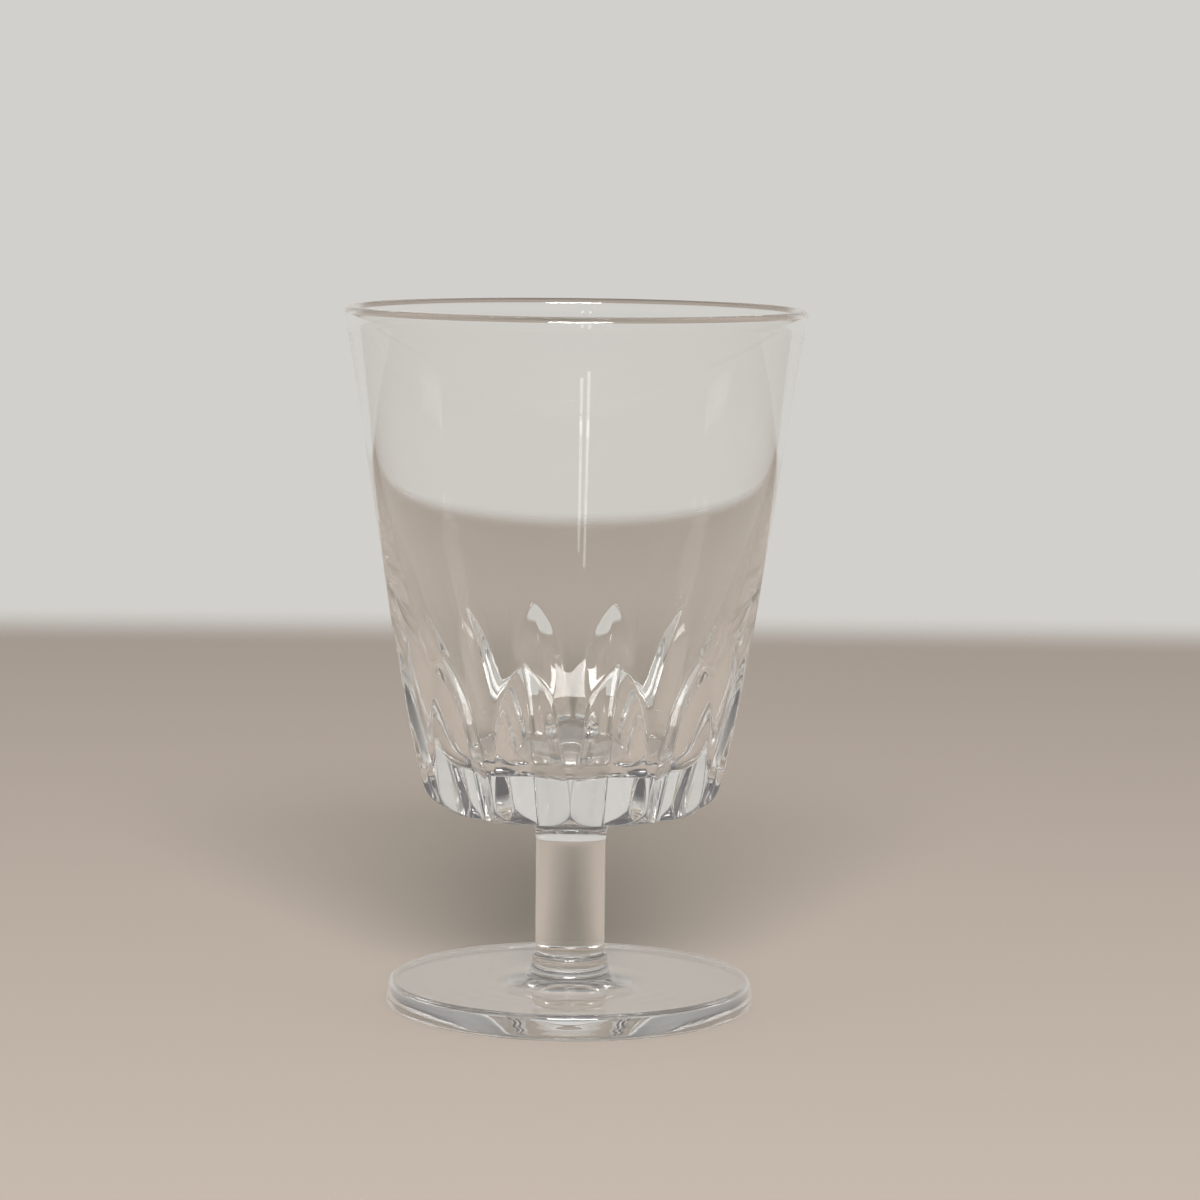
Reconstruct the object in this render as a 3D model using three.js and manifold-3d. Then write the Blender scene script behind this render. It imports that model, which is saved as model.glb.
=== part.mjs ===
// A small stemmed sherbet glass in clear crystal: a blown bowl with a ring of cut petals, a short solid stem
// and a round foot with a low boss, fused end to end while hot.
// Millimetres, +Z up. The origin is the centre of the foot's underside, where the glass stands.
import * as THREE from "three";
import { mergeVertices } from "three/addons/utils/BufferGeometryUtils.js";
import Module from "manifold-3d";

// Foot: a disc with a gently bulging side, a slightly crowned top and a boss that takes the stem
const FOOT_DIAMETER = 60.7;
const FOOT_EDGE_HEIGHT = 4.1;
const FOOT_CROWN = 0.5;
const FOOT_BASE_EDGE_RADIUS = 0.5;
const FOOT_SIDE_RADIUS = 11.5;
const FOOT_TOP_EDGE_RADIUS = 0.9;
const BOSS_RISE = 4;
const BOSS_LEDGE = 0.55;
const BOSS_EDGE_RADIUS = 0.95;
const BOSS_FILLET_RADIUS = 1.2;

// Stem: a plain rod that flares where it meets the bowl
const STEM_DIAMETER = 11.5;
const STEM_LENGTH = 24.1;
const STEM_LOWER_EDGE_RADIUS = 0.3;
const STEM_FLARE_RADIUS = 7.5;
const STEM_FLARE_WIDTH = 3;

// Bowl: the wall widens from the rounded base to the rim, and each slope is the widening for 1 mm of height
const BOWL_HEIGHT = 82.2;
const RIM_DIAMETER = 75.4;
const RIM_WALL = 2.2;
const BASE_DIAMETER = 49.3;
const BASE_CORNER_RADIUS = 5;
const OUTER_SLOPE_AT_BASE = 0.226;
const OUTER_SLOPE_AT_RIM = 0.18;
const FLOOR_THICKNESS = 8.3;
const FLOOR_WALL = 6.6;
const CAVITY_CORNER_RADIUS = 5.7;
const CAVITY_SLOPE_AT_FLOOR = 0.42;
const CAVITY_SLOPE_AT_RIM = 0.11;

// Petals: V-shaped wheel cuts up the lower bowl, each from the base to a tip where the wheel runs out
const PETAL_COUNT = 12;
const PETAL_HEIGHT = 27.2;
const PETAL_BASE_DEPTH = 4.75;
const PETAL_FLANK_DEGREES = 25;
const WHEEL_RADIUS = 29;
const WHEEL_EXIT_HEIGHT = 9.2;
const CUTTER_OVERRUN = 4;

// Facets of the round surfaces
const DISC_SEGMENTS = 72;
const ROD_SEGMENTS = 48;
const WALL_STEPS = 8;
const CORNER_STEPS = 3;
const CREASE_STEPS = 16;

// Sizes that follow from the ones above
const crownHeight = FOOT_EDGE_HEIGHT + FOOT_CROWN;
const bossHeight = crownHeight + BOSS_RISE;
const stemRadius = STEM_DIAMETER / 2;
const bossRadius = stemRadius + BOSS_LEDGE;
const baseRadius = BASE_DIAMETER / 2;
const baseLean = Math.atan(OUTER_SLOPE_AT_BASE);
const baseCornerTop = BASE_CORNER_RADIUS * (1 - Math.sin(baseLean));
const cavityLean = Math.atan(CAVITY_SLOPE_AT_FLOOR);
const cavityCornerTop = FLOOR_THICKNESS + CAVITY_CORNER_RADIUS * (1 - Math.sin(cavityLean));
const rimRadius = RIM_DIAMETER / 2;
const lipRadius = RIM_WALL / 2;
const lipHeight = BOWL_HEIGHT - lipRadius;

// Points along an arc in the profile plane, with angles in degrees from the outward direction.
function arc(centreRadius, centreHeight, radius, fromDegrees, toDegrees, steps = CORNER_STEPS) {
  const from = THREE.MathUtils.degToRad(fromDegrees);
  const to = THREE.MathUtils.degToRad(toDegrees);
  const clockwise = toDegrees < fromDegrees;
  return new THREE.ArcCurve(centreRadius, centreHeight, radius, from, to, clockwise).getPoints(steps);
}

// A wall line that leaves its lower end and reaches its upper end at the two slopes.
function wallCurve(lower, upper, lowerSlope, upperSlope) {
  const third = (upper.y - lower.y) / 3;
  const lowerHandle = new THREE.Vector2(lower.x + third * lowerSlope, lower.y + third);
  const upperHandle = new THREE.Vector2(upper.x - third * upperSlope, upper.y - third);
  return new THREE.CubicBezierCurve(lower, lowerHandle, upperHandle, upper);
}

// Turns a profile of (radius, height) points, from the lower pole to the upper pole, about the Z axis.
function turned(profile, segments) {
  return new THREE.LatheGeometry(profile, segments).rotateX(Math.PI / 2);
}

function footGeometry() {
  const radius = FOOT_DIAMETER / 2;
  const baseEdge = FOOT_BASE_EDGE_RADIUS;
  const topEdge = FOOT_TOP_EDGE_RADIUS;
  const fillet = BOSS_FILLET_RADIUS;
  const reach = FOOT_SIDE_RADIUS - topEdge;
  const turn = Math.asin((FOOT_EDGE_HEIGHT - baseEdge - topEdge) / reach);
  const turnDegrees = THREE.MathUtils.radToDeg(turn);
  const topEdgeCentre = radius - FOOT_SIDE_RADIUS + reach * Math.cos(turn);
  const profile = [
    new THREE.Vector2(0, 0),
    ...arc(radius - baseEdge, baseEdge, baseEdge, -90, 0),
    ...arc(radius - FOOT_SIDE_RADIUS, baseEdge, FOOT_SIDE_RADIUS, 0, turnDegrees).slice(1),
    ...arc(topEdgeCentre, FOOT_EDGE_HEIGHT - topEdge, topEdge, turnDegrees, 90).slice(1),
    ...arc(bossRadius + fillet, crownHeight + fillet, fillet, 270, 180, 2 * CORNER_STEPS),
    ...arc(bossRadius - BOSS_EDGE_RADIUS, bossHeight - BOSS_EDGE_RADIUS, BOSS_EDGE_RADIUS, 0, 90),
    new THREE.Vector2(0, bossHeight),
  ];
  return turned(profile, DISC_SEGMENTS);
}

function stemGeometry() {
  const edge = STEM_LOWER_EDGE_RADIUS;
  const flare = STEM_FLARE_RADIUS;
  const flareTurn = THREE.MathUtils.radToDeg(Math.acos(1 - STEM_FLARE_WIDTH / flare));
  const flareRise = flare * Math.sin(THREE.MathUtils.degToRad(flareTurn));
  const profile = [
    new THREE.Vector2(0, 0),
    ...arc(stemRadius - edge, edge, edge, -90, 0),
    ...arc(stemRadius + flare, STEM_LENGTH - flareRise, flare, 180, 180 - flareTurn, 2 * CORNER_STEPS),
    new THREE.Vector2(0, STEM_LENGTH),
  ];
  return turned(profile, ROD_SEGMENTS);
}

const outerWall = wallCurve(
  new THREE.Vector2(baseRadius, baseCornerTop),
  new THREE.Vector2(rimRadius, lipHeight),
  OUTER_SLOPE_AT_BASE,
  OUTER_SLOPE_AT_RIM,
);

// The outer wall's radius at a height above the bowl's underside. Height runs evenly along the curve.
function outerRadius(height) {
  return outerWall.getPoint((height - baseCornerTop) / (lipHeight - baseCornerTop)).x;
}

// The corners end where they run smoothly into the walls.
function blankGeometry() {
  const corner = BASE_CORNER_RADIUS;
  const cornerEnd = -THREE.MathUtils.radToDeg(baseLean);
  const cavityCorner = CAVITY_CORNER_RADIUS;
  const cavityCornerEnd = -THREE.MathUtils.radToDeg(cavityLean);
  const cavityRadius = outerRadius(cavityCornerTop) - FLOOR_WALL;
  const cavityFloorRadius = cavityRadius - cavityCorner * Math.cos(cavityLean);
  const cavityWall = wallCurve(
    new THREE.Vector2(cavityRadius, cavityCornerTop),
    new THREE.Vector2(rimRadius - RIM_WALL, lipHeight),
    CAVITY_SLOPE_AT_FLOOR,
    CAVITY_SLOPE_AT_RIM,
  );
  const profile = [
    new THREE.Vector2(0, 0),
    ...arc(baseRadius - corner * Math.cos(baseLean), corner, corner, -90, cornerEnd, 2 * CORNER_STEPS),
    ...outerWall.getPoints(WALL_STEPS).slice(1),
    ...arc(rimRadius - lipRadius, lipHeight, lipRadius, 0, 180, 2 * CORNER_STEPS).slice(1),
    ...cavityWall.getPoints(WALL_STEPS).reverse().slice(1),
    ...arc(cavityFloorRadius, FLOOR_THICKNESS + cavityCorner, cavityCorner, cavityCornerEnd, -90).slice(1),
    new THREE.Vector2(0, FLOOR_THICKNESS),
  ];
  return turned(profile, DISC_SEGMENTS);
}

// A petal's crease at a height above the underside: a straight run, then the wheel's arc out to the tip.
function creaseRadius(height) {
  const arcRise = (distance) => distance ** 2 / (2 * WHEEL_RADIUS);
  const foot = baseRadius - PETAL_BASE_DEPTH;
  const top = outerRadius(PETAL_HEIGHT) - arcRise(WHEEL_EXIT_HEIGHT);
  const exit = Math.max(height - (PETAL_HEIGHT - WHEEL_EXIT_HEIGHT), 0);
  return THREE.MathUtils.lerp(foot, top, height / PETAL_HEIGHT) + arcRise(exit);
}

// One petal's cutter on the +Y side: a level V that follows the crease from below the base to above the tip.
function petalCutter() {
  const halfPitch = Math.PI / PETAL_COUNT;
  const halfWidth = rimRadius * Math.tan(halfPitch);
  const flankRise = halfWidth * Math.tan(THREE.MathUtils.degToRad(PETAL_FLANK_DEGREES));
  const back = flankRise + CUTTER_OVERRUN;
  const vee = new THREE.Shape([
    new THREE.Vector2(0, 0),
    new THREE.Vector2(halfWidth, flankRise),
    new THREE.Vector2(halfWidth, back),
    new THREE.Vector2(-halfWidth, back),
    new THREE.Vector2(-halfWidth, flankRise),
  ]);
  const geometry = new THREE.ExtrudeGeometry(vee, {
    depth: PETAL_HEIGHT + 2 * CUTTER_OVERRUN,
    steps: CREASE_STEPS,
    bevelEnabled: false,
  }).translate(0, 0, -CUTTER_OVERRUN);
  const points = geometry.attributes.position;
  for (let i = 0; i < points.count; i++) {
    points.setY(i, points.getY(i) + creaseRadius(points.getZ(i)));
  }
  return geometry;
}

const wasm = await Module();
wasm.setup();

function solidOf(geometry) {
  const bare = geometry.clone().deleteAttribute("normal").deleteAttribute("uv");
  const merged = mergeVertices(bare);
  const mesh = new wasm.Mesh({
    numProp: 3,
    vertProperties: merged.attributes.position.array,
    triVerts: new Uint32Array(merged.index.array),
  });
  return new wasm.Manifold(mesh);
}

function geometryOf(solid) {
  const { vertProperties, triVerts } = solid.getMesh();
  const geometry = new THREE.BufferGeometry();
  geometry.setAttribute("position", new THREE.BufferAttribute(vertProperties, 3));
  geometry.setIndex(new THREE.BufferAttribute(triVerts, 1));
  geometry.computeVertexNormals();
  return geometry;
}

// The bowl's blank less its petals. The uncut ridges between petals face the X and Y axes.
function bowlGeometry() {
  const cutter = petalCutter();
  let bowl = solidOf(blankGeometry());
  for (let i = 0; i < PETAL_COUNT; i++) {
    const turn = (2 * Math.PI * (i + 0.5)) / PETAL_COUNT;
    bowl = bowl.subtract(solidOf(cutter.clone().rotateZ(turn)));
  }
  return geometryOf(bowl);
}

function crystalPiece(name, geometry, height) {
  const crystal = new THREE.MeshStandardMaterial({
    color: 0xe9eeee,
    roughness: 0.02,
    metalness: 0,
    transparent: true,
    opacity: 0.35,
  });
  const piece = new THREE.Mesh(geometry, crystal);
  piece.name = name;
  piece.position.z = height;
  return piece;
}

const glass = new THREE.Group();
glass.add(crystalPiece("foot", footGeometry(), 0));
glass.add(crystalPiece("stem", stemGeometry(), bossHeight));
glass.add(crystalPiece("bowl", bowlGeometry(), bossHeight + STEM_LENGTH));

export default glass;
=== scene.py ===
import math

import bpy
import numpy as np
from mathutils import Matrix, Vector


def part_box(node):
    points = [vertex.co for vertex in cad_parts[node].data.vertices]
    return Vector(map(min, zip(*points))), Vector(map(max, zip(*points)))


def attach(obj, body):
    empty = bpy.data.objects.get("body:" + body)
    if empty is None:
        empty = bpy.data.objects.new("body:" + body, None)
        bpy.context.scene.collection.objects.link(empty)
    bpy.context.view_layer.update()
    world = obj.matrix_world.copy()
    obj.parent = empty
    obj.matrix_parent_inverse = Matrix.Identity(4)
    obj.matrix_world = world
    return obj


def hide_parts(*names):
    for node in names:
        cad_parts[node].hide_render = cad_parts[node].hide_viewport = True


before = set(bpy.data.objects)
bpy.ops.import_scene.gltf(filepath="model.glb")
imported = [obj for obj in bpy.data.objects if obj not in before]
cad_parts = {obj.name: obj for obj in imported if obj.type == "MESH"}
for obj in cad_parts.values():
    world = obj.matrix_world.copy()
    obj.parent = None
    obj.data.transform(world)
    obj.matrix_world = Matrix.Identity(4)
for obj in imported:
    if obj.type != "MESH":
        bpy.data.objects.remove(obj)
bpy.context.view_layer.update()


# The foot
# A round disc of clear crystal, pressed and spun flat while it was soft, with a low boss for the stem.
# Its top swells a little round the boss, its edge is fire-polished and the spinning left faint rings.
MM = 0.001
_, foot_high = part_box("foot")
FOOT_RADIUS = foot_high.x
FOOT_EDGE_HEIGHT = 4.1 * MM
FOOT_CROWN_HEIGHT = 4.6 * MM
FOOT_BASE_EDGE = 0.5 * MM
FOOT_TOP_EDGE = 0.9 * MM
FOOT_SIDE = 11.5 * MM
BOSS_HEIGHT = foot_high.z
BOSS_EDGE = 0.95 * MM
BOSS_FILLET = 1.2 * MM
BOSS_LEDGE = 0.55 * MM
SWELL_RADIUS = 13 * MM
SWELL_HEIGHT = 0.45 * MM
STEM_RADIUS = 5.75 * MM
STEM_LOWER_EDGE = 0.3 * MM
LOWER_WELD_RADIUS = STEM_RADIUS - STEM_LOWER_EDGE
HOLDING_RING = 0.08 * MM
SHARP_ANGLE = math.radians(40)
JOINT_DEPTH = 0.01 * MM


def arc(centre, radius, start, end, steps):
    """Points of an arc in the (radius, height) plane, with angles in degrees from the outward direction."""
    angles = np.radians(np.linspace(start, end, steps + 1))
    return [(centre[0] + radius * math.cos(a), centre[1] + radius * math.sin(a)) for a in angles]


def straight(start, end, steps):
    """Points inside a straight stretch, with a close ring at each end that keeps the shading flat."""
    length = math.dist(start, end)
    shares = [HOLDING_RING / length, *np.linspace(0, 1, steps + 1)[1:-1], 1 - HOLDING_RING / length]
    return [tuple(a + (b - a) * share for a, b in zip(start, end)) for share in shares]


def turned_mesh(name, profile, around):
    """Turns a profile, which runs from a lower to an upper pole on the axis, about the Z axis."""
    rings = profile[1:-1]
    turn = [2 * math.pi * j / around for j in range(around)]
    verts = [(r * math.cos(a), r * math.sin(a), z) for r, z in rings for a in turn]
    lower_pole, upper_pole = len(verts), len(verts) + 1
    verts += [(0, 0, profile[0][1]), (0, 0, profile[-1][1])]
    last = (len(rings) - 1) * around
    faces = []
    for j in range(around):
        k = (j + 1) % around
        faces.append((lower_pole, k, j))
        faces += [(i + j, i + k, i + around + k, i + around + j) for i in range(0, last, around)]
        faces.append((upper_pole, last + j, last + k))
    mesh = bpy.data.meshes.new(name)
    mesh.from_pydata(verts, [], faces)
    return mesh


def finished_piece(mesh, node, skin, joint, joints):
    """Shades a mesh, gives it its skin, clears its fused joints' discs and puts it in its node's place."""
    mesh.polygons.foreach_set("use_smooth", [True] * len(mesh.polygons))
    mesh.set_sharp_from_angle(angle=SHARP_ANGLE)
    mesh.materials.clear()
    mesh.materials.append(skin)
    mesh.materials.append(joint)
    for face in mesh.polygons:
        x, y, z = face.center
        fused = any(abs(z - height) < JOINT_DEPTH and math.hypot(x, y) < radius for radius, height in joints)
        face.material_index = 1 if fused else 0
    piece = bpy.data.objects.new(mesh.name, mesh)
    bpy.context.scene.collection.objects.link(piece)
    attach(piece, "root")
    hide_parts(node)


def linear(colour):
    """An sRGB hex colour as linear red, green, blue and alpha."""
    parts = [int(colour[i : i + 2], 16) / 255 for i in (1, 3, 5)]
    return [p / 12.92 if p <= 0.04045 else ((p + 0.055) / 1.055) ** 2.4 for p in parts] + [1.0]


def add(tree, kind, inputs, **settings):
    """Adds a node, with its settings, and sets or links its inputs."""
    made = tree.nodes.new(kind)
    for name, value in settings.items():
        setattr(made, name, value)
    for name, value in inputs.items():
        if isinstance(value, bpy.types.NodeSocket):
            tree.links.new(value, made.inputs[name])
        else:
            made.inputs[name].default_value = value
    return made


CRYSTAL_TINT = "#fdfdfc"
CRYSTAL_IOR = 1.545


def crystal(name, shade):
    """Polished crystal: colourless, clear and bright, with a smooth skin and a shadow of the given shade."""
    material = bpy.data.materials.new(name)
    material.use_nodes = True
    tree = material.node_tree
    skin = tree.nodes["Principled BSDF"]
    skin.inputs["Base Color"].default_value = linear(CRYSTAL_TINT)
    skin.inputs["Roughness"].default_value = 0.0
    skin.inputs["IOR"].default_value = CRYSTAL_IOR
    skin.inputs["Transmission Weight"].default_value = 1.0
    shaded = add(tree, "ShaderNodeLightPath", {}).outputs["Is Shadow Ray"]
    passing = add(tree, "ShaderNodeBsdfTransparent", {"Color": linear(shade)})
    glass = add(
        tree, "ShaderNodeMixShader", {0: shaded, 1: skin.outputs["BSDF"], 2: passing.outputs["BSDF"]}
    )
    tree.links.new(glass.outputs["Shader"], tree.nodes["Material Output"].inputs["Surface"])
    place = add(tree, "ShaderNodeTexCoord", {}).outputs["Object"]
    return material, tree, skin, place


# Spun crystal: faint rings about the axis that ripple the reflections on the foot
# A Wave Texture of scale 1 has WAVE_TEXTURE_TURNS waves in a metre
RING_SPACING = 3.4 * MM
RING_HEIGHT = 0.0012 * MM
RING_DISTORTION = 0.2
WAVE_TEXTURE_TURNS = 20 / (2 * math.pi)
DISC_SHADE = "#fcfcfc"
spun_crystal, tree, skin, place = crystal("spun_crystal", DISC_SHADE)
ring_scale = 1 / (WAVE_TEXTURE_TURNS * RING_SPACING)
rings = add(
    tree,
    "ShaderNodeTexWave",
    {"Vector": place, "Scale": ring_scale, "Distortion": RING_DISTORTION, "Detail": 1.0},
    wave_type="RINGS",
    rings_direction="Z",
)
ripple = add(tree, "ShaderNodeBump", {"Height": rings.outputs["Fac"], "Distance": RING_HEIGHT})
tree.links.new(ripple.outputs["Normal"], skin.inputs["Normal"])

# Fused crystal: inside a hot joint the two gathers are one glass, so the joint face shows nothing
fused_crystal = bpy.data.materials.new("fused_crystal")
fused_crystal.use_nodes = True
tree = fused_crystal.node_tree
tree.nodes.remove(tree.nodes["Principled BSDF"])
passing = add(tree, "ShaderNodeBsdfTransparent", {})
tree.links.new(passing.outputs["BSDF"], tree.nodes["Material Output"].inputs["Surface"])

AROUND = 192
boss_radius = STEM_RADIUS + BOSS_LEDGE
base_edge = arc((FOOT_RADIUS - FOOT_BASE_EDGE, FOOT_BASE_EDGE), FOOT_BASE_EDGE, -90, 0, steps=6)
side_rise = FOOT_EDGE_HEIGHT - FOOT_TOP_EDGE - FOOT_BASE_EDGE
side_turn = math.degrees(math.asin(side_rise / (FOOT_SIDE - FOOT_TOP_EDGE)))
side = arc((FOOT_RADIUS - FOOT_SIDE, FOOT_BASE_EDGE), FOOT_SIDE, 0, side_turn, steps=8)
inset = (FOOT_SIDE - FOOT_TOP_EDGE) * (1 - math.cos(math.radians(side_turn)))
top_centre = (FOOT_RADIUS - FOOT_TOP_EDGE - inset, FOOT_EDGE_HEIGHT - FOOT_TOP_EDGE)
top_edge = arc(top_centre, FOOT_TOP_EDGE, side_turn, 90, steps=8)
swell_end = boss_radius + BOSS_FILLET
swell_lean = math.atan(2 * SWELL_HEIGHT / (SWELL_RADIUS - swell_end))
swell = [
    (SWELL_RADIUS + (swell_end - SWELL_RADIUS) * share, FOOT_CROWN_HEIGHT - SWELL_HEIGHT * (1 - share**2))
    for share in np.linspace(0, 1, 12)
]
fillet_centre = (
    swell_end + BOSS_FILLET * math.sin(swell_lean),
    FOOT_CROWN_HEIGHT + BOSS_FILLET * math.cos(swell_lean),
)
fillet = arc(fillet_centre, BOSS_FILLET, 270 - math.degrees(swell_lean), 180, steps=12)
boss_edge = arc((boss_radius - BOSS_EDGE, BOSS_HEIGHT - BOSS_EDGE), BOSS_EDGE, 0, 90, steps=6)
foot_profile = [
    (0, 0),
    *straight((0, 0), base_edge[0], steps=6),
    *base_edge,
    *side[1:],
    *top_edge[1:],
    *straight(top_edge[-1], swell[0], steps=10),
    *swell,
    *fillet[1:],
    *straight(fillet[-1], boss_edge[0], steps=2),
    *boss_edge,
    (LOWER_WELD_RADIUS / 2, BOSS_HEIGHT),
    (0, BOSS_HEIGHT),
]
foot_mesh = turned_mesh("foot_disc", foot_profile, AROUND)
lower_joint = (LOWER_WELD_RADIUS, BOSS_HEIGHT)
finished_piece(foot_mesh, "foot", spun_crystal, fused_crystal, [lower_joint])


# The stem
# A short solid rod of crystal, drawn out hot and stuck to the boss of the foot below.
# At its top it flares into the underside of the bowl, and its lower edge keeps a fine seam.
_, stem_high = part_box("stem")
STEM_FLARE = 7.5 * MM
UPPER_WELD_RADIUS = stem_high.x
STEM_TOP = stem_high.z
flare_turn = math.degrees(math.acos(1 - (UPPER_WELD_RADIUS - STEM_RADIUS) / STEM_FLARE))
flare_start = STEM_TOP - STEM_FLARE * math.sin(math.radians(flare_turn))
lower_edge = arc((LOWER_WELD_RADIUS, BOSS_HEIGHT + STEM_LOWER_EDGE), STEM_LOWER_EDGE, -90, 0, steps=6)
flare = arc((STEM_RADIUS + STEM_FLARE, flare_start), STEM_FLARE, 180, 180 - flare_turn, steps=14)
stem_profile = [
    (0, BOSS_HEIGHT),
    (LOWER_WELD_RADIUS / 2, BOSS_HEIGHT),
    *lower_edge,
    *straight(lower_edge[-1], flare[0], steps=12),
    *flare,
    (UPPER_WELD_RADIUS / 2, STEM_TOP),
    (0, STEM_TOP),
]

# Drawn crystal: fine cords of glass along the rod, drawn bolder than they are so that they show
CORD_WIDTH = 1.2 * MM
CORD_HEIGHT = 0.04 * MM
CORD_SQUEEZE = (1, 1, 0.02)
THICK_SHADE = "#dfe1e0"
drawn_crystal, tree, skin, place = crystal("drawn_crystal", THICK_SHADE)
along = add(tree, "ShaderNodeMapping", {"Vector": place, "Scale": CORD_SQUEEZE})
cords = add(
    tree, "ShaderNodeTexNoise", {"Vector": along.outputs["Vector"], "Scale": 1 / CORD_WIDTH, "Detail": 1.0}
)
ripple = add(tree, "ShaderNodeBump", {"Height": cords.outputs["Fac"], "Distance": CORD_HEIGHT})
tree.links.new(ripple.outputs["Normal"], skin.inputs["Normal"])

stem_mesh = turned_mesh("stem_rod", stem_profile, AROUND)
upper_joint = (UPPER_WELD_RADIUS, STEM_TOP)
finished_piece(stem_mesh, "stem", drawn_crystal, fused_crystal, [lower_joint, upper_joint])


# The bowl
# Blown crystal with a thick base and a wall that thins to a round fire-polished lip.
# A ring of petals is cut into the lower wall on a wheel, each a blunt V, then polished so its edges are soft.
bowl_low, bowl_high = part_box("bowl")
BOWL_BASE = bowl_low.z
RIM_RADIUS = bowl_high.x
RIM_WALL = 2.2 * MM
LIP_HEIGHT = bowl_high.z - RIM_WALL / 2
BASE_RADIUS = 24.65 * MM
BASE_CORNER = 5 * MM
OUTER_SLOPES = (0.226, 0.18)
FLOOR_HEIGHT = BOWL_BASE + 8.3 * MM
FLOOR_WALL = 6.6 * MM
CAVITY_CORNER = 5.7 * MM
CAVITY_SLOPES = (0.42, 0.11)
PETALS = 12
PETAL_TIP = BOWL_BASE + 27.2 * MM
PETAL_BASE_DEPTH = 4.75 * MM
PETAL_FLANK = math.tan(math.radians(25))
WHEEL_RADIUS = 29 * MM
WHEEL_EXIT = 9.2 * MM
CREASE_ROUNDING = 0.3 * MM
EDGE_ROUNDING = 0.13 * MM
TIP_WIDTH = 0.6 * MM
ROW_STEP = 0.45 * MM
ROWS_PAST_TIP = 2 * MM
PLAIN_ROWS = 30
CAVITY_ROWS = 42
SETTLING = 12 * MM
half_pitch = math.pi / PETALS


def wall_radius(height, lower, upper, slopes):
    """The radius of a wall line that leaves its lower end and reaches its upper end at the two slopes."""
    rise = upper[1] - lower[1]
    s = (height - lower[1]) / rise
    spread = (upper[0] - lower[0]) * (3 * s**2 - 2 * s**3)
    return lower[0] + spread + rise * (slopes[0] * (s**3 - 2 * s**2 + s) + slopes[1] * (s**3 - s**2))


base_lean = math.atan(OUTER_SLOPES[0])
outer_lower = (BASE_RADIUS, BOWL_BASE + BASE_CORNER * (1 - math.sin(base_lean)))
outer_upper = (RIM_RADIUS, LIP_HEIGHT)
cavity_lean = math.atan(CAVITY_SLOPES[0])
cavity_start = FLOOR_HEIGHT + CAVITY_CORNER * (1 - math.sin(cavity_lean))
cavity_radius = wall_radius(cavity_start, outer_lower, outer_upper, OUTER_SLOPES) - FLOOR_WALL
cavity_lower = (cavity_radius, cavity_start)
cavity_upper = (RIM_RADIUS - RIM_WALL, LIP_HEIGHT)
cut_heights = np.arange(outer_lower[1], PETAL_TIP + ROWS_PAST_TIP, ROW_STEP)[1:]
plain_heights = np.linspace(cut_heights[-1], LIP_HEIGHT, PLAIN_ROWS)[1:]
outer_heights = [*cut_heights, *plain_heights]
cavity_heights = np.linspace(LIP_HEIGHT, cavity_start, CAVITY_ROWS)[1:]
base_centre = (BASE_RADIUS - BASE_CORNER * math.cos(base_lean), BOWL_BASE + BASE_CORNER)
base_corner = arc(base_centre, BASE_CORNER, -90, -math.degrees(base_lean), steps=24)
lip = arc((RIM_RADIUS - RIM_WALL / 2, LIP_HEIGHT), RIM_WALL / 2, 0, 180, steps=14)
cavity_centre = (cavity_radius - CAVITY_CORNER * math.cos(cavity_lean), FLOOR_HEIGHT + CAVITY_CORNER)
cavity_corner = arc(cavity_centre, CAVITY_CORNER, -math.degrees(cavity_lean), -90, steps=12)
outside = [
    *base_corner,
    *[(wall_radius(h, outer_lower, outer_upper, OUTER_SLOPES), h) for h in outer_heights],
]
inside = [
    *lip[1:],
    *[(wall_radius(h, cavity_lower, cavity_upper, CAVITY_SLOPES), h) for h in cavity_heights],
    *cavity_corner[1:],
    *straight(cavity_corner[-1], (0, FLOOR_HEIGHT), steps=6)[:-1],
]

# Columns of points, as shares of the way from the crease to the petal's edge, then on to the ridge
PETAL_SHARES = (0, 0.02, 0.05, 0.1, 0.3, 0.55, 0.8, 0.92, 0.97)
RIDGE_SHARES = (0, 0.02, 0.05, 0.12, 0.3, 0.6, 1)
UNDERSIDE_SHARES = (0.2, 0.4, 0.6, 0.8, 0.95, 0.99)
CUT_ROUNDS = 8


def crease_radius(height):
    """How far a petal's crease lies from the axis: a straight run, then the wheel's arc out to the tip."""
    foot = BASE_RADIUS - PETAL_BASE_DEPTH
    top = wall_radius(PETAL_TIP, outer_lower, outer_upper, OUTER_SLOPES) - WHEEL_EXIT**2 / (2 * WHEEL_RADIUS)
    run = foot + (top - foot) * (height - BOWL_BASE) / (PETAL_TIP - BOWL_BASE)
    return run + max(height - (PETAL_TIP - WHEEL_EXIT), 0) ** 2 / (2 * WHEEL_RADIUS)


def cut_radius(angle, crease, start):
    """The radius of one petal's V at an angle from its crease, found in rounds from a start."""
    radius = start
    for _ in range(CUT_ROUNDS):
        across = np.hypot(radius * np.sin(angle), CREASE_ROUNDING) - CREASE_ROUNDING
        radius = (crease + PETAL_FLANK * across) / np.cos(angle)
    return radius


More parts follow.
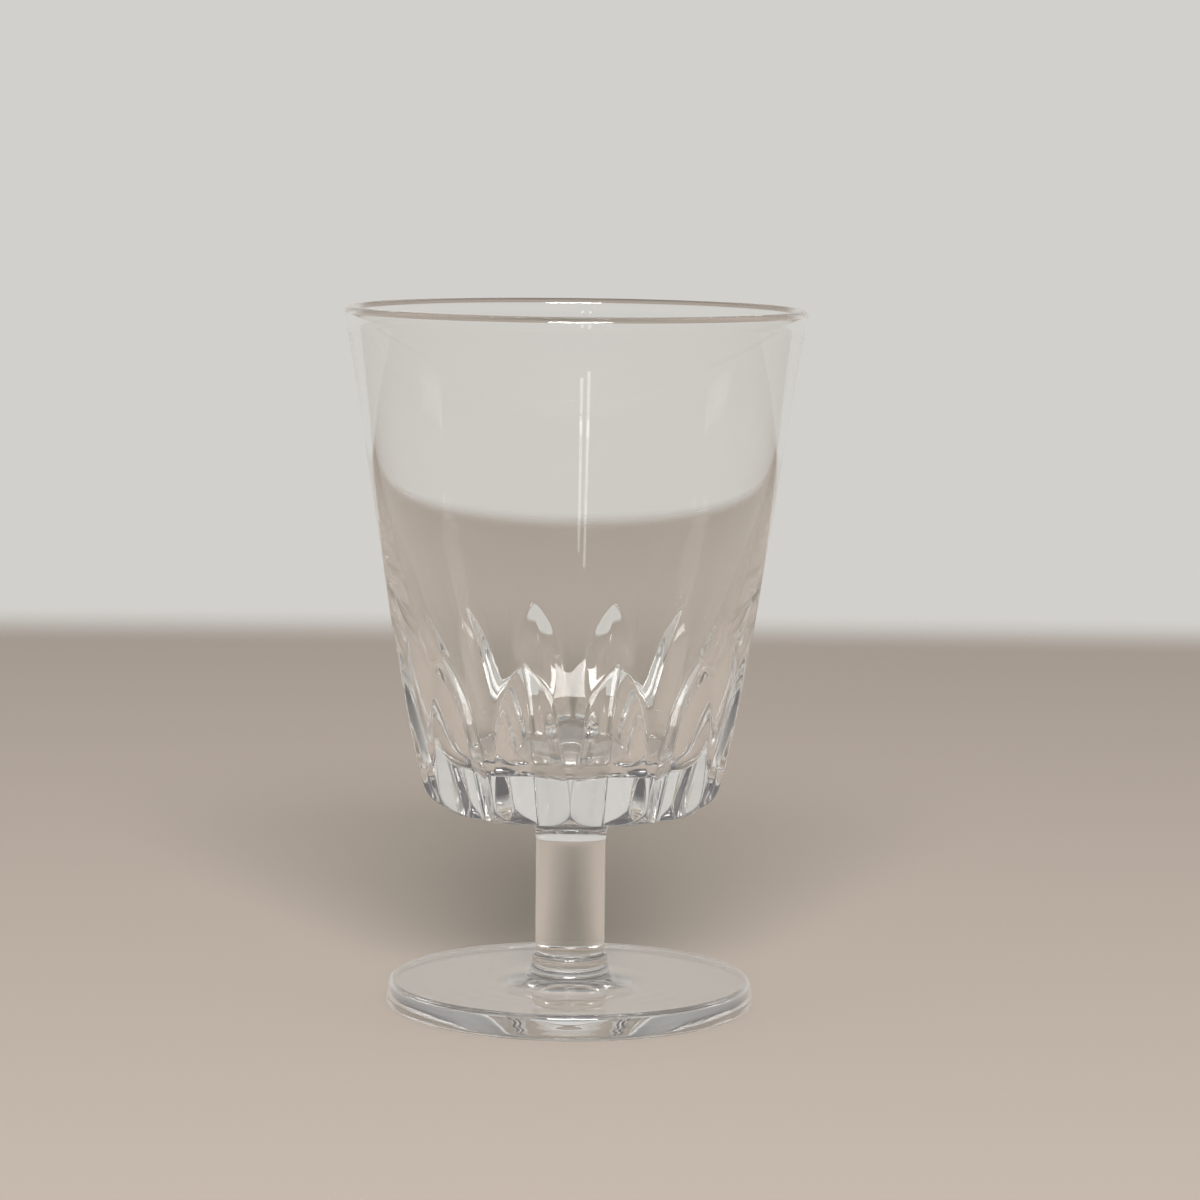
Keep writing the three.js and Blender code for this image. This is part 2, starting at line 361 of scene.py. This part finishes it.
def outside_row(radius, height):
    """Angles and radii of the points of half a petal and half a ridge at one height of the outer wall."""
    crease = crease_radius(height)
    meeting = min(crease / (radius * math.hypot(1, PETAL_FLANK)), 1)
    edge = min(max(math.acos(meeting) - math.atan(PETAL_FLANK), TIP_WIDTH / radius), half_pitch)
    petal = [edge * share for share in PETAL_SHARES]
    ridge = [edge + (half_pitch - edge) * share for share in RIDGE_SHARES]
    angles = np.array(petal + ridge)
    even = np.linspace(0, half_pitch, len(angles))
    settled = min(max((height - PETAL_TIP) / SETTLING, 0), 1)
    angles += (even - angles) * settled
    surfaces = [
        np.full(len(angles), radius),
        cut_radius(angles, crease, radius),
        cut_radius(2 * half_pitch - angles, crease, radius),
    ]
    nearest = np.min(surfaces, 0)
    soft = sum(np.exp((nearest - surface) / EDGE_ROUNDING) for surface in surfaces)
    return angles, nearest - EDGE_ROUNDING * np.log(soft)


def petal_sector():
    """One petal's slice of the bowl, from ridge to ridge and from the underside round to its floor."""
    half = len(PETAL_SHARES) + len(RIDGE_SHARES)
    even = np.linspace(0, half_pitch, half)
    outline_angles, outline = outside_row(*outside[0])
    rows = [(even, np.full(half, r), BOWL_BASE) for r in (UPPER_WELD_RADIUS / 2, UPPER_WELD_RADIUS)]
    for share in UNDERSIDE_SHARES:
        rows.append((outline_angles, UPPER_WELD_RADIUS + (outline - UPPER_WELD_RADIUS) * share, BOWL_BASE))
    rows += [(*outside_row(r, z), z) for r, z in outside]
    rows += [(even, np.full(half, r), z) for r, z in inside]
    verts = []
    for angles, radii, z in rows:
        turn = np.concatenate([-angles[:0:-1], angles])
        reach = np.concatenate([radii[:0:-1], radii])
        verts += [(r * math.cos(a), r * math.sin(a), z) for a, r in zip(turn, reach)]
    width = 2 * half - 1
    last = (len(rows) - 1) * width
    lower_pole, upper_pole = len(verts), len(verts) + 1
    verts += [(0, 0, BOWL_BASE), (0, 0, FLOOR_HEIGHT)]
    faces = []
    for j in range(width - 1):
        faces.append((lower_pole, j + 1, j))
        faces += [(i + j, i + j + 1, i + width + j + 1, i + width + j) for i in range(0, last, width)]
        faces.append((upper_pole, last + j, last + j + 1))
    mesh = bpy.data.meshes.new("petal_sector")
    mesh.from_pydata(verts, [], faces)
    return mesh


# Blown crystal: faint upright waves left by turning the hot bowl, which streak the reflections on its wall
WAVE_WIDTH = 3.5 * MM
WAVE_HEIGHT = 0.005 * MM
WAVE_RADIUS = 30 * MM
WAVE_SQUEEZE = (0, 0, 0.04)
blown_crystal, tree, skin, place = crystal("blown_crystal", THICK_SHADE)
flat = add(tree, "ShaderNodeVectorMath", {0: place, 1: (1, 1, 0)}, operation="MULTIPLY").outputs[0]
outward = add(tree, "ShaderNodeVectorMath", {0: flat}, operation="NORMALIZE").outputs[0]
on_wall = add(tree, "ShaderNodeVectorMath", {0: outward, "Scale": WAVE_RADIUS}, operation="SCALE").outputs[0]
upright = add(tree, "ShaderNodeVectorMath", {0: place, 1: WAVE_SQUEEZE}, operation="MULTIPLY").outputs[0]
spot = add(tree, "ShaderNodeVectorMath", {0: on_wall, 1: upright}, operation="ADD").outputs[0]
waves = add(tree, "ShaderNodeTexNoise", {"Vector": spot, "Scale": 1 / WAVE_WIDTH, "Detail": 2.0})
ripple = add(tree, "ShaderNodeBump", {"Height": waves.outputs["Fac"], "Distance": WAVE_HEIGHT})
tree.links.new(ripple.outputs["Normal"], skin.inputs["Normal"])


def petal_ring_tree():
    """Sets copies of a petal's slice round the axis and joins them into one closed bowl."""
    ring = bpy.data.node_groups.new("petal_ring", "GeometryNodeTree")
    ring.interface.new_socket("Slice", in_out="INPUT", socket_type="NodeSocketGeometry")
    ring.interface.new_socket("Petals", in_out="INPUT", socket_type="NodeSocketInt")
    ring.interface.new_socket("Join distance", in_out="INPUT", socket_type="NodeSocketFloat")
    ring.interface.new_socket("Crystal", in_out="INPUT", socket_type="NodeSocketMaterial")
    ring.interface.new_socket("Bowl", in_out="OUTPUT", socket_type="NodeSocketGeometry")
    given = add(ring, "NodeGroupInput", {}).outputs
    index = add(ring, "GeometryNodeInputIndex", {})
    halfway = add(ring, "ShaderNodeMath", {0: index.outputs[0], 1: 0.5}, operation="ADD")
    share = add(ring, "ShaderNodeMath", {0: halfway.outputs[0], 1: given["Petals"]}, operation="DIVIDE")
    turn = add(ring, "ShaderNodeMath", {0: share.outputs[0], 1: 2 * math.pi}, operation="MULTIPLY")
    spin = add(ring, "ShaderNodeCombineXYZ", {"Z": turn.outputs[0]})
    centres = add(ring, "GeometryNodePoints", {"Count": given["Petals"]})
    copies = add(
        ring,
        "GeometryNodeInstanceOnPoints",
        {"Points": centres.outputs[0], "Instance": given["Slice"], "Rotation": spin.outputs[0]},
    )
    whole = add(ring, "GeometryNodeRealizeInstances", {"Geometry": copies.outputs[0]})
    joined = add(
        ring,
        "GeometryNodeMergeByDistance",
        {"Geometry": whole.outputs[0], "Distance": given["Join distance"]},
    )
    dressed = add(
        ring,
        "GeometryNodeSetMaterial",
        {"Geometry": joined.outputs[0], "Material": given["Crystal"]},
    )
    add(ring, "NodeGroupOutput", {"Bowl": dressed.outputs[0]})
    return ring


JOIN_DISTANCE = 0.002 * MM
maker = bpy.data.objects.new("bowl_maker", petal_sector())
bpy.context.scene.collection.objects.link(maker)
repeat = maker.modifiers.new("petals", "NODES")
repeat.node_group = petal_ring_tree()
given = {item.name: item.identifier for item in repeat.node_group.interface.items_tree}
repeat[given["Petals"]] = PETALS
repeat[given["Join distance"]] = JOIN_DISTANCE
repeat[given["Crystal"]] = blown_crystal
bpy.context.view_layer.update()
seen = bpy.context.evaluated_depsgraph_get()
bowl_mesh = bpy.data.meshes.new_from_object(maker.evaluated_get(seen))
bowl_mesh.name = "bowl_cut"
bpy.data.objects.remove(maker)
finished_piece(bowl_mesh, "bowl", blown_crystal, fused_crystal, [upper_joint])


# The floor
# A plain pale floor that the glass stands on, wide to both sides.
# Its edge fades into the pale surround.
FLOOR_COLOUR = "#bfb2a6"
FLOOR_HALF_WIDTH = 1900 * MM
FLOOR_HALF_DEPTH = 550 * MM
FLOOR_FADE = 0.84
FLOOR_ROUGHNESS = 0.75
FLOOR_SPECULAR = 0.2
FLOOR_DROP = 0.02 * MM


def eased(tree, value, start, end):
    """A smooth step from 0 to 1 while a value runs from a start to an end."""
    step = add(
        tree,
        "ShaderNodeMapRange",
        {"Value": value, "From Min": start, "From Max": end},
        interpolation_type="SMOOTHSTEP",
    )
    return step.outputs["Result"]


floor_paint = bpy.data.materials.new("floor_paint")
floor_paint.use_nodes = True
tree = floor_paint.node_tree
paint = tree.nodes["Principled BSDF"]
paint.inputs["Base Color"].default_value = linear(FLOOR_COLOUR)
paint.inputs["Roughness"].default_value = FLOOR_ROUGHNESS
paint.inputs["Specular IOR Level"].default_value = FLOOR_SPECULAR
place = add(tree, "ShaderNodeTexCoord", {}).outputs["Object"]
spread = (1 / FLOOR_HALF_WIDTH, 1 / FLOOR_HALF_DEPTH, 1)
outward = add(tree, "ShaderNodeVectorMath", {0: place, 1: spread}, operation="MULTIPLY").outputs[0]
from_centre = add(tree, "ShaderNodeVectorMath", {0: outward}, operation="LENGTH").outputs["Value"]
fade = eased(tree, from_centre, FLOOR_FADE, 1.0)
gone = add(tree, "ShaderNodeBsdfTransparent", {})
blend = add(tree, "ShaderNodeMixShader", {0: fade, 1: paint.outputs["BSDF"], 2: gone.outputs["BSDF"]})
tree.links.new(blend.outputs["Shader"], tree.nodes["Material Output"].inputs["Surface"])
floor_mesh = bpy.data.meshes.new("floor")
turn = [2 * math.pi * j / AROUND for j in range(AROUND)]
edge = [(FLOOR_HALF_WIDTH * math.cos(a), FLOOR_HALF_DEPTH * math.sin(a), -FLOOR_DROP) for a in turn]
floor_mesh.from_pydata(edge, [], [range(AROUND)])
floor_mesh.materials.append(floor_paint)
floor = bpy.data.objects.new("floor", floor_mesh)
bpy.context.scene.collection.objects.link(floor)


# The light
# A pale surround that the glass shows, with a dimmer room above it.
# A wide soft lamp stands high in front, and two narrow ones behind the camera draw fine streaks up the bowl.
SURROUND_COLOUR = "#d2d0cc"
ROOM_COLOUR = "#626264"
ROOM_RISE = (0.12, 0.42)


def mixed(tree, share, first, second):
    """The colour that lies a share of the way from the first colour to the second."""
    mix = add(tree, "ShaderNodeMix", {"Factor": share, "A": first, "B": second}, data_type="RGBA")
    return mix.outputs[2]


world = bpy.data.worlds.new("studio")
bpy.context.scene.world = world
world.use_nodes = True
tree = world.node_tree
sky = tree.nodes["Background"]
rays = add(tree, "ShaderNodeLightPath", {}).outputs
direction = add(tree, "ShaderNodeTexCoord", {}).outputs["Generated"]
upward = add(tree, "ShaderNodeSeparateXYZ", {0: direction}).outputs["Z"]
overhead = eased(tree, upward, *ROOM_RISE)
around = mixed(tree, overhead, linear(SURROUND_COLOUR), linear(ROOM_COLOUR))
shade = mixed(tree, rays["Is Camera Ray"], around, linear(SURROUND_COLOUR))
tree.links.new(shade, sky.inputs["Color"])
sky.inputs["Strength"].default_value = 1.0

GLASS_MIDDLE = Vector((0, 0, 0.06))


def soft_lamp(name, place, width, height, power):
    """A rectangular soft lamp that shines from a place towards the middle of the glass."""
    light = bpy.data.lights.new(name, "AREA")
    light.shape = "RECTANGLE"
    light.size = width
    light.size_y = height
    light.energy = power
    lamp = bpy.data.objects.new(name, light)
    facing = (GLASS_MIDDLE - Vector(place)).to_track_quat("-Z", "Y").to_matrix().to_4x4()
    lamp.matrix_world = Matrix.Translation(place) @ facing
    lamp.visible_camera = False
    bpy.context.scene.collection.objects.link(lamp)


soft_lamp("front_lamp", (0.1, -2.18, 1.48), width=1.3, height=0.55, power=108)
soft_lamp("left_strip", (-0.12, -0.94, 0.39), width=0.03, height=0.1, power=0.038)
soft_lamp("right_strip", (-0.05, -0.95, 0.39), width=0.03, height=0.08, power=0.03)

# Light that runs along inside the wall bounces many times before it leaves at the lip
BOUNCES = 160
CLEAR_LAYERS = 32
cycles = bpy.context.scene.cycles
cycles.caustics_reflective = False
cycles.caustics_refractive = False
cycles.max_bounces = BOUNCES
cycles.transmission_bounces = BOUNCES
cycles.glossy_bounces = BOUNCES
cycles.transparent_max_bounces = CLEAR_LAYERS
bpy.context.scene.view_settings.view_transform = "Standard"


# The camera
# It stands a little above the rim, close in, and looks slightly down, as the photograph was taken.
CAMERA_PLACE = (4.355 * MM, -653.0 * MM, 142.55 * MM)
CAMERA_TILT = 6.599
CAMERA_ROLL = 0.656
FOCAL_PIXELS = 4009.8
IMAGE_PIXELS = 1200
SENSOR = 36.0
lens = bpy.data.cameras.new("camera")
lens.sensor_width = SENSOR
lens.lens = FOCAL_PIXELS * SENSOR / IMAGE_PIXELS
lens.clip_start = 0.01
camera = bpy.data.objects.new("camera", lens)
tilt = Matrix.Rotation(math.radians(90 - CAMERA_TILT), 4, "X")
roll = Matrix.Rotation(math.radians(CAMERA_ROLL), 4, "Z")
camera.matrix_world = Matrix.Translation(CAMERA_PLACE) @ tilt @ roll
bpy.context.scene.collection.objects.link(camera)
bpy.context.scene.camera = camera
